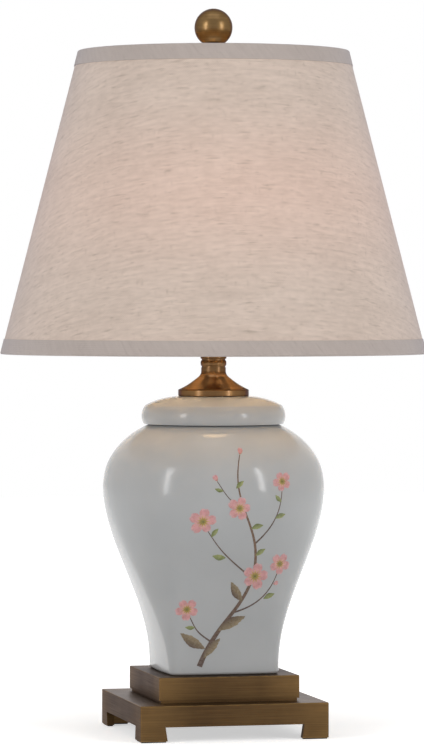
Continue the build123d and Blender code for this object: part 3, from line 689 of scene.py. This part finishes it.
def brushedBrass(node):
    material, tree, shader = startMaterial("brushed_brass_" + node)
    coords = put(tree, "TexCoord")
    spot = coords.outputs["Object"]
    upward = axes(tree, coords.outputs["Normal"])[2]
    isLaid = sums(tree, "GREATER_THAN", sums(tree, "ABSOLUTE", upward), agedBrass["laidFrom"])
    side, flat = (streaks(tree, spot, agedBrass[way], 4.0, 0.65) for way in ("sideGrain", "laidGrain"))
    grain = mixedValue(tree, isLaid, side, flat)
    cloud = noise(tree, spot, agedBrass["cloudScale"], 4.0)
    patina = weighed(tree, (grain, agedBrass["grainShare"]), (cloud, agedBrass["cloudShare"]))
    age = between(tree, patina, *agedBrass["patina"])
    colour = mixed(tree, age, tone(*agedBrass["dark"]), tone(*agedBrass["mid"]))
    low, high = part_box(node)
    parts = axes(tree, spot)
    # lighter towards the corners: partly hand wear, partly painted light from the side lamps
    inward = sums(tree, "MAXIMUM", *fromSides(tree, parts, high.x))
    reach = high.x * agedBrass["rubbedReach"]
    handledAndLit = between(tree, inward, 0.0, reach, agedBrass["rubbedShare"], 0.0)
    handledAndLit = sums(tree, "MULTIPLY", handledAndLit, between(tree, age, 0.0, 1.0, agedBrass["rubbedInDark"], 1.0))
    colour = mixed(tree, handledAndLit, colour, tone(*agedBrass["rubbedAndLit"]))
    # brighter edges: partly wear, partly painted highlight
    edges = blockEdges(tree, parts, high.x, high.z, low.z)
    broken = noise(tree, spot, agedBrass["brokenScale"], 3.0)
    broken = between(tree, broken, *agedBrass["brokenFrom"], *agedBrass["brokenShare"])
    colour = mixed(tree, sums(tree, "MULTIPLY", edges, broken), colour, tone(*agedBrass["wornAndGlinting"]))
    dull = between(tree, patina, *agedBrass["dullSpan"], *agedBrass["dull"])
    shallow = mixed(tree, isLaid, agedBrass["shadedGrazing"], agedBrass["laidGrazing"][node])
    feed(tree, shader, Base_Color=colour, Metallic=1.0, Roughness=dull, Specular_Tint=shallow)
    bumped(tree, shader, grain, *agedBrass["grainBump"])
    return material


def turnedBrass(part):
    material, tree, shader = startMaterial("turned_brass_" + part)
    spot = place(tree)
    rings = streaks(tree, spot, turned["rings"], 3.0, 0.6)
    cloud = noise(tree, spot, turned["cloudScale"], 4.0)
    patina = weighed(tree, (rings, turned["ringShare"]), (cloud, turned["cloudShare"]))
    age = between(tree, patina, *turned["patina"])

    def finish(looks):
        colour = mixed(tree, age, tone(*looks["dark"]), tone(*looks["mid"]))
        return colour, between(tree, patina, *turned["dullSpan"], *looks["dull"])

    colour, dull = finish(turned[part])
    if part == "neck":
        litFlareColour, clean = finish(turned["flare"])
        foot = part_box(part)[0].z
        low, high = foot + turned["flareFrom"], foot + turned["flareTo"]
        height = axes(tree, spot)[2]
        fadeIn, fadeOut = turned["flareFade"]
        # painted light: a brighter band up the flare, for the lit inside of the shade mirrored in it
        paintedLitBand = sums(tree, "MULTIPLY", between(tree, height, low, low + fadeIn),
                      between(tree, height, high - fadeOut, high, 1.0, 0.0))
        colour = mixed(tree, paintedLitBand, colour, litFlareColour)
        dull = mixedValue(tree, paintedLitBand, dull, clean)
    feed(tree, shader, Base_Color=colour, Metallic=1.0, Roughness=dull, Specular_Tint=turned["shadedGrazing"],
         Coat_Weight=turned["coat"], Coat_Roughness=turned["coatRough"])
    bumped(tree, shader, rings, *turned["ringBump"])
    return material


for block in ("lower_plinth", "upper_tier"):
    finishNode(brushedBrass(block), block)
finishNode(turnedBrass("neck"), "neck", "neck_collar", "cord_bushing", "cord_bushing_nut")
finishNode(turnedBrass("ball"), "finial_stem", "finial_ball")
print("brass finished")


# fittings inside the shade and under the base
fittings = {
    "plated_wire": {
        "dark": (122, 114, 102), "light": (170, 160, 144), "rough": (0.42, 0.3), "grain": (300, 300, 300),
        "nodes": ("harp", "harp_saddle", "harp_sleeve_left", "harp_sleeve_right", "shade_spider",
                  "shade_bottom_ring", "harp_stud"),
    },
    "lacquered_brass": {
        "dark": (150, 116, 62), "light": (196, 160, 92), "rough": (0.34, 0.2), "grain": (60, 60, 1500),
        "nodes": ("socket_cap", "socket_shell", "socket_thread", "centre_contact", "bulb_cap"),
    },
    "zinc_steel": {
        "dark": (128, 128, 130), "light": (176, 176, 178), "rough": (0.45, 0.3), "grain": (500, 500, 500),
        "nodes": ("rod_washer", "rod_lock_washer", "rod_nut", "threaded_rod", "socket_set_screw",
                  "terminal_screws", "switch_shaft"),
    },
    "painted_plate": {
        "dark": (40, 40, 42), "light": (56, 56, 58), "rough": (0.7, 0.55), "grain": (220, 220, 220),
        "nodes": ("ballast_plate",), "metallic": 0.0,
    },
}
fittingStain = 90.0  # scale of the stains on all of them
fittingBump = (0.08 * millimetre, 0.4)


def fittingMetal(name, looks):
    material, tree, shader = startMaterial(name)
    spot = place(tree)
    grain = streaks(tree, spot, looks["grain"], 4.0, 0.6)
    both = blended(tree, grain, noise(tree, spot, fittingStain, 3.0))
    rough = between(tree, both, *busyNoise, *looks["rough"])
    feed(tree, shader, Base_Color=mottled(tree, both, looks), Metallic=looks.get("metallic", 1.0),
         Roughness=rough)
    bumped(tree, shader, grain, *fittingBump)
    return material


moulded = {
    "insulating_fibre": {"dark": (84, 66, 46), "light": (116, 95, 68), "rough": 0.75, "scale": 420,
                         "nodes": ("socket_liner",)},
    "phenolic_body": {"dark": (30, 24, 22), "light": (52, 42, 38), "rough": 0.45, "scale": 110,
                      "nodes": ("socket_body",)},
    "switch_knob_brown": {"dark": (34, 24, 19), "light": (58, 40, 30), "rough": 0.3, "scale": 160,
                          "nodes": ("switch_knob",)},
    "fibreboard": {"dark": (96, 74, 52), "light": (146, 118, 86), "rough": 0.85, "scale": 520,
                   "nodes": ("bottom_board",)},
    "thin_seal": {"dark": (38, 34, 30), "light": (62, 56, 48), "rough": 0.8, "scale": 600,
                  "nodes": ("jar_pad", "lid_ring")},
    "shade_lining": {"dark": (226, 218, 207), "light": (242, 236, 226), "rough": 0.7, "scale": 70,
                     "nodes": ("shade_liner",)},
}
mouldedSpread = 0.08  # of roughness, each way
mouldedSwirl = 6  # times as large as the grain
mouldedBump = (0.15 * millimetre, 0.4)


def mouldedFinish(name, looks):
    material, tree, shader = startMaterial(name)
    spot = place(tree)
    grain = noise(tree, spot, looks["scale"], 5.0, 0.6)
    both = blended(tree, grain, noise(tree, spot, looks["scale"] / mouldedSwirl, 3.0))
    smooth, dull = looks["rough"] - mouldedSpread, looks["rough"] + mouldedSpread
    rough = between(tree, grain, *usualNoise, smooth, dull)
    feed(tree, shader, Base_Color=mottled(tree, both, looks), Roughness=rough)
    bumped(tree, shader, grain, *mouldedBump)
    return material


for finishes, build in ((fittings, fittingMetal), (moulded, mouldedFinish)):
    for name, looks in finishes.items():
        finishNode(build(name, looks), *looks["nodes"])


# bulb: frosted glass, dimly lit
bulbLight = {
    "glass": (240, 232, 220),
    "frost": (210, 196, 178),
    "frostScale": 900.0,
    "frostShare": 0.2,
    "rough": (0.35, 0.5),
    "bump": (0.1 * millimetre, 0.3),
    "glow": (1.0, 0.68, 0.38, 1.0),
    "strength": 13.0,
}


def frostedBulb():
    material, tree, shader = startMaterial("frosted_bulb")
    frost = noise(tree, place(tree), bulbLight["frostScale"], 2.0)
    share = between(tree, frost, *usualNoise, 0.0, bulbLight["frostShare"])
    colour = mixed(tree, share, tone(*bulbLight["glass"]), tone(*bulbLight["frost"]))
    rough = between(tree, frost, *usualNoise, *bulbLight["rough"])
    feed(tree, shader, Base_Color=colour, Roughness=rough, Emission_Color=bulbLight["glow"],
         Emission_Strength=bulbLight["strength"])
    bumped(tree, shader, frost, *bulbLight["bump"])
    return material


finishNode(frostedBulb(), "bulb_glass")
print("fittings finished")


# linen: plain weave with slubs along the weft, read from each piece's own weave map in metres
linen = {
    "pale": (235, 216, 202),
    "mid": (217, 198, 184),
    "slub": (154, 132, 116),
    "pitch": 0.9 * millimetre,
    "waverScale": 60,
    "waver": 9.0,  # how far the threads stray
    "threadShare": 0.16,
    # slubs along the weft and one kind along the warp: scales along and across, span, share
    "slubs": ((44, 350, 0.6, 0.77, 0.4), (125, 440, 0.61, 0.77, 0.4), (480, 100, 0.62, 0.77, 0.24)),
    # uneven yarns, their long runs and slow clouds: scales along and across, detail, roughness, share
    "yarns": ((86, 310, 3.0, 0.55, 0.5), (16, 290, 2.0, 0.5, 0.26), (14, 26, 3.0, 0.5, 0.24)),
    "yarnSpan": (0.38, 0.62),
    "ridge": 0.35,  # height of the crossings, where a slub is 1
    "bump": (0.22 * millimetre, 0.6),
    "rough": 0.92,
    "gloss": 0.2,
    "sheen": 0.4,
    "sheenRough": 0.5,
    "fuzz": (0.74, 0.8, 1.0, 1.0),
    # painted glow: the cloth's emission stands for the bulb's light shining through it
    "glow": (1.0, 0.22, 0.08, 1.0),
    "glowStrength": 0.076,
    "glowHeight": 0.507,
    "glowReach": 0.105,
    "glowAside": 0.45,  # share of the painted glow left at the left and right sides, where the harp's legs stand
    "glowInSlub": 0.55,  # and in a slub
}
trimLinen = {"pale": (197, 185, 178), "mid": (190, 178, 171), "slub": (170, 157, 150), "biasTurn": 45}


def slubs(tree, weave, along, across, low, high):
    return between(tree, streaks(tree, weave, (along, across, 1), 2.0, 0.5), low, high)


def weaveCrossing(tree, weave):
    # up and down where the wavering warp and weft threads pass each other
    stray = streaks(tree, weave, (linen["waverScale"], linen["waverScale"], 1), 2.0, 0.5)
    drift = sums(tree, "MULTIPLY", stray, linen["waver"])
    turns = math.pi / linen["pitch"]
    parts = axes(tree, weave)
    warp, weft = (sums(tree, "SINE", weighed(tree, (drift, 1.0), (parts[axis], turns))) for axis in (0, 1))
    return sums(tree, "MULTIPLY", warp, weft)


def paintedBulbGlow(tree, dark):
    # painted glow: emission standing for the bulb's light through the cloth, strongest at the bulb's height
    # and at the front and back, weaker at the sides
    parts = axes(tree, place(tree))
    away = sums(tree, "ABSOLUTE", sums(tree, "SUBTRACT", parts[2], linen["glowHeight"]))
    near = between(tree, away, 0.0, linen["glowReach"], 1.0, 0.0, "SMOOTHSTEP")
    across, along = (sums(tree, "MULTIPLY", parts[axis], parts[axis]) for axis in (0, 1))
    clear = sums(tree, "DIVIDE", along, sums(tree, "ADD", across, along))
    near = sums(tree, "MULTIPLY", near, between(tree, clear, 0.0, 1.0, linen["glowAside"], 1.0))
    lit = sums(tree, "MULTIPLY", near, between(tree, dark, 0.0, 1.0, 1.0, linen["glowInSlub"]))
    return mixed(tree, lit, (0, 0, 0, 1), linen["glow"])


def linenMaterial(name, colours, turn=0.0, paintsGlow=False):
    material, tree, shader = startMaterial(name)
    pale, mid, slub = (tone(*colours[key]) for key in ("pale", "mid", "slub"))
    weave = stretched(tree, put(tree, "UVMap", uv_map="weave").outputs[0], (1, 1, 1), turn)
    crossing = weaveCrossing(tree, weave)
    thick = [(slubs(tree, weave, *looks), share) for *looks, share in linen["slubs"]]
    dark = weighed(tree, *thick, clamp=True)
    yarns = [(streaks(tree, weave, (along, across, 1), detail, rough), share)
             for along, across, detail, rough, share in linen["yarns"]]
    ground = mixed(tree, between(tree, weighed(tree, *yarns), *linen["yarnSpan"]), mid, pale)
    thread = between(tree, crossing, -1.0, 1.0, 0.0, linen["threadShare"])
    colour = mixed(tree, dark, mixed(tree, thread, ground, slub), slub)
    feed(tree, shader, Base_Color=colour, Roughness=linen["rough"], Specular_IOR_Level=linen["gloss"],
         Sheen_Weight=linen["sheen"], Sheen_Roughness=linen["sheenRough"], Sheen_Tint=linen["fuzz"])
    bumped(tree, shader, weighed(tree, (crossing, linen["ridge"]), (dark, 1.0)), *linen["bump"])
    # painted glow of the bulb's light through the cloth
    if paintsGlow:
        feed(tree, shader, Emission_Color=paintedBulbGlow(tree, dark), Emission_Strength=linen["glowStrength"])
    return material


# shade cover: one cone of linen, lapped at the back
coverLow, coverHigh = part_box("shade_cover")
cover = {
    "bottomRadius": coverHigh.x,
    "topRadius": 0.127,
    "low": coverLow.z,
    "high": coverHigh.z,
    "segments": 240,
    "rows": 44,
    "thickness": 0.68 * millimetre,
    "lapRise": 0.5 * millimetre,
    "lapFaces": 2,  # each side of the back line
}
coverHeight = cover["high"] - cover["low"]
coverLean = cover["bottomRadius"] - cover["topRadius"]
coverSlant = math.hypot(coverHeight, coverLean)
coverTip = cover["bottomRadius"] * coverSlant / coverLean  # slant from the cone's tip to the bottom edge
coverSpread = math.tau * cover["bottomRadius"] / coverTip  # angle of the flat cut
print("cover cut: slant", round(coverSlant, 4), "tip", round(coverTip, 4), "angle", round(coverSpread, 4))


def coverRadius(height):
    return cover["bottomRadius"] - coverLean * (height - cover["low"]) / coverHeight


def aroundAngle(point):
    # angle from the front, -pi to pi, so the map's cut is at the back
    return math.atan2(point.x, -point.y)


def layWeave(piece, spread):
    # weave map in metres, where spread gives a point's place on the flat cloth
    sheet = piece.data.uv_layers.new(name="weave")
    piece.data.uv_layers.active = sheet
    for face in piece.data.polygons:
        middleAngle = aroundAngle(face.center)
        for corner in face.loop_indices:
            point = piece.data.vertices[piece.data.loops[corner].vertex_index].co
            angle = aroundAngle(point)
            if abs(angle - middleAngle) > math.pi:
                angle += math.copysign(math.tau, middleAngle)
            sheet.data[corner].uv = spread(point, angle)


def unrolled(point, angle):
    # the cone's cloth laid flat, with the front line upright
    slant = coverTip - (point.z - cover["low"]) * coverSlant / coverHeight
    turn = angle * coverSpread / math.tau
    return slant * math.sin(turn), -slant * math.cos(turn)


def buildCover():
    deselectAll()
    bpy.ops.mesh.primitive_cone_add(vertices=cover["segments"], radius1=cover["bottomRadius"],
                                    radius2=cover["topRadius"], depth=coverHeight, end_fill_type="NOTHING",
                                    calc_uvs=False, location=(0, 0, (cover["low"] + cover["high"]) / 2))
    piece = justMade("linen_cover")
    settle(piece)
    editing(piece)
    pick(piece, "EDGE", lambda edge: rise(edge) > coverHeight / 2)
    bpy.ops.mesh.subdivide(number_cuts=cover["rows"])
    lap = cover["lapFaces"] * math.tau / cover["segments"]
    pick(piece, "FACE", lambda face: abs(aroundAngle(face.calc_center_median())) > math.pi - lap)
    bpy.ops.mesh.extrude_region_shrink_fatten(TRANSFORM_OT_shrink_fatten={"value": cover["lapRise"]})
    faceOutward()
    done()
    layWeave(piece, unrolled)
    addModifier(piece, "SOLIDIFY", thickness=cover["thickness"], offset=-1.0)
    smoothShaded(piece)
    piece.data.materials.append(linenMaterial("slub_linen", linen, paintsGlow=True))
    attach(piece, "shade")
    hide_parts("shade_cover")
    return piece


# trim bands: bias strips folded over the shade's two edges
trimBand = {
    "leaf": 13.5 * millimetre,
    "leafCuts": 5,
    "fold": 8.0 * millimetre,
    "inner": 5.2 * millimetre,
    "thickness": 0.55 * millimetre,
    "stand": 0.42 * millimetre,
    "round": 0.9 * millimetre,
    "smoothBelow": 50,  # degrees
    "segments": 240,
}


def buildTrim(name, node, edge, away):
    # edge is the shade's edge height, away is 1 at the top edge and -1 at the bottom one
    leaf = edge - away * trimBand["leaf"]
    rim = edge + away * trimBand["stand"]
    leafRadius = coverRadius(leaf) + trimBand["stand"]
    rimRadius = coverRadius(edge) + trimBand["stand"]
    innerRadius = rimRadius - trimBand["inner"]
    deselectAll()
    bpy.ops.mesh.primitive_cone_add(vertices=trimBand["segments"],
                                    radius1=leafRadius if away > 0 else rimRadius,
                                    radius2=rimRadius if away > 0 else leafRadius,
                                    depth=abs(rim - leaf), end_fill_type="NOTHING", calc_uvs=False,
                                    location=(0, 0, (leaf + rim) / 2))
    piece = justMade(name)
    settle(piece)
    editing(piece)
    pick(piece, "EDGE", lambda line: rise(line) > trimBand["leaf"] / 2)
    bpy.ops.mesh.subdivide(number_cuts=trimBand["leafCuts"])

    def onRim(line):
        return all(abs(vert.co.z - rim) < onPlane for vert in line.verts)

    pick(piece, "EDGE", onRim)
    folded = innerRadius / rimRadius
    bpy.ops.mesh.extrude_edges_move()
    scaled(folded, folded, rim)
    bpy.ops.mesh.extrude_edges_move(TRANSFORM_OT_translate={"value": (0, 0, -away * trimBand["fold"])})
    lean = 1 + away * trimBand["fold"] * coverLean / coverHeight / innerRadius
    scaled(lean, lean, rim)
    faceOutward()

    def isRing(line):
        return abs(line.verts[0].co.xy.length - line.verts[1].co.xy.length) < 10 * onPlane

    pick(piece, "EDGE", lambda line: onRim(line) and isRing(line))
    bpy.ops.mesh.bevel(offset=trimBand["round"], segments=3, affect="EDGES")
    done()
    reach = max(vertex.co.xy.length for vertex in piece.data.vertices)
    # length round the band, and height plus depth across its folds
    layWeave(piece, lambda point, angle: (angle * reach, point.z + point.xy.length))
    addModifier(piece, "SOLIDIFY", thickness=trimBand["thickness"], offset=0.0)
    smoothShaded(piece, trimBand["smoothBelow"])
    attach(piece, "shade")
    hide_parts(node)
    return piece


linenCover = buildCover()
topTrim = buildTrim("top_trim_band", "shade_top_trim", cover["high"], 1)
bottomTrim = buildTrim("bottom_trim_band", "shade_bottom_trim", cover["low"], -1)
trimCloth = linenMaterial("bias_trim_linen", trimLinen, turn=math.radians(trimLinen["biasTurn"]))
for band in (topTrim, bottomTrim):
    band.data.materials.append(trimCloth)


# felt: the sheet under the base and the four foot pads, both cut round the angle feet
felt = {
    "dark": (44, 36, 30),
    "light": (72, 60, 50),
    "fibreScale": 1400.0,
    "lumpScale": 160.0,
    "rough": 0.96,
    "sheen": 0.25,
    "bump": (0.4 * millimetre, 0.7),
}


def feltMaterial():
    material, tree, shader = startMaterial("dark_felt")
    spot = place(tree)
    fibres = noise(tree, spot, felt["fibreScale"], 4.0, 0.7)
    both = blended(tree, fibres, noise(tree, spot, felt["lumpScale"], 3.0))
    feed(tree, shader, Base_Color=mottled(tree, both, felt), Roughness=felt["rough"],
         Sheen_Weight=felt["sheen"])
    bumped(tree, shader, both, *felt["bump"])
    return material


baseFelt = {
    "margin": 0.2 * millimetre,
    "drawnIn": 4 * millimetre,
    "footReach": 22.4 * millimetre,
    "thickness": 0.8 * millimetre,
    "round": 0.25 * millimetre,
    "squares": 40,
    "fuzz": 0.12 * millimetre,
    "fuzzSize": 4 * millimetre,
}


def fuzz(piece):
    # a slight unevenness in the felt's own surface
    cloud = bpy.data.textures.new(piece.name + "_fuzz", "CLOUDS")
    cloud.noise_scale = baseFelt["fuzzSize"]
    addModifier(piece, "DISPLACE", texture=cloud, strength=baseFelt["fuzz"], mid_level=0.5,
                texture_coords="LOCAL")


def buildBaseFelt():
    low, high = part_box("bottom_felt")
    reach = high.x - baseFelt["margin"]
    drawnIn = high.x - baseFelt["drawnIn"]
    footStart = high.x - baseFelt["footReach"]
    squares = baseFelt["squares"]
    deselectAll()
    bpy.ops.mesh.primitive_grid_add(x_subdivisions=squares, y_subdivisions=squares, size=2 * reach,
                                    location=(0, 0, (low.z + high.z) / 2))
    piece = justMade("base_felt")
    settle(piece)
    editing(piece)
    for normal in ((1, 0, 0), (0, 1, 0)):
        for line in (-drawnIn, -footStart, footStart, drawnIn):
            cutAt(tuple(line * part for part in normal), normal)

    def underFoot(face):
        sides = sorted(abs(value) for value in face.calc_center_median().xy)
        return sides[0] > footStart and sides[1] > drawnIn

    pick(piece, "FACE", underFoot)
    bpy.ops.mesh.delete(type="FACE")
    done()
    addModifier(piece, "SOLIDIFY", thickness=baseFelt["thickness"], offset=0.0)
    addModifier(piece, "BEVEL", width=baseFelt["round"], segments=2, limit_method="ANGLE")
    fuzz(piece)
    smoothShaded(piece)
    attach(piece, "base")
    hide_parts("bottom_felt")
    return piece


footFelt = {
    "arm": 23.4 * millimetre,
    "width": 5 * millimetre,
    "corner": 1.2 * millimetre,
    "round": 0.3 * millimetre,
    "sharp": 1.0,  # radians of bend above which an edge is rounded
}


def buildFootPads():
    low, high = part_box("foot_pads")
    arm, inner = footFelt["arm"], high.x - footFelt["width"]
    corner = (high.x - arm / 2, high.y - arm / 2, low.z)
    deselectAll()
    bpy.ops.mesh.primitive_plane_add(size=arm, calc_uvs=False, location=corner)
    pad = justMade("foot_pad")
    settle(pad)
    editing(pad)
    for normal in ((1, 0, 0), (0, 1, 0)):
        cutAt((inner, inner, 0), normal)
    pick(pad, "FACE", lambda face: max(face.calc_center_median().xy) < inner)
    bpy.ops.mesh.delete(type="FACE")
    pickAll()
    bpy.ops.mesh.extrude_region_move(TRANSFORM_OT_translate={"value": (0, 0, high.z - low.z)})
    faceOutward()

    def isSharp(edge):
        return edge.calc_face_angle(0) > footFelt["sharp"]

    pick(pad, "EDGE", lambda edge: isSharp(edge) and rise(edge) > high.z / 2)
    bpy.ops.mesh.bevel(offset=footFelt["corner"], segments=4, affect="EDGES")
    pick(pad, "EDGE", lambda edge: isSharp(edge) and rise(edge) < onPlane)
    bpy.ops.mesh.bevel(offset=footFelt["round"], segments=2, affect="EDGES")
    done()
    pads = [pad]
    for quarter in (1, 2, 3):
        only(pad)
        bpy.ops.object.duplicate()
        copy = bpy.context.object
        copy.rotation_euler = (0, 0, math.radians(90 * quarter))
        settle(copy)
        pads.append(copy)
    piece = joined(pads, "foot_felts")
    smoothShaded(piece)
    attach(piece, "base")
    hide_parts("foot_pads")
    return piece


feltCloth = feltMaterial()
for feltPiece in (buildBaseFelt(), buildFootPads()):
    feltPiece.data.materials.append(feltCloth)
print("felts laid")
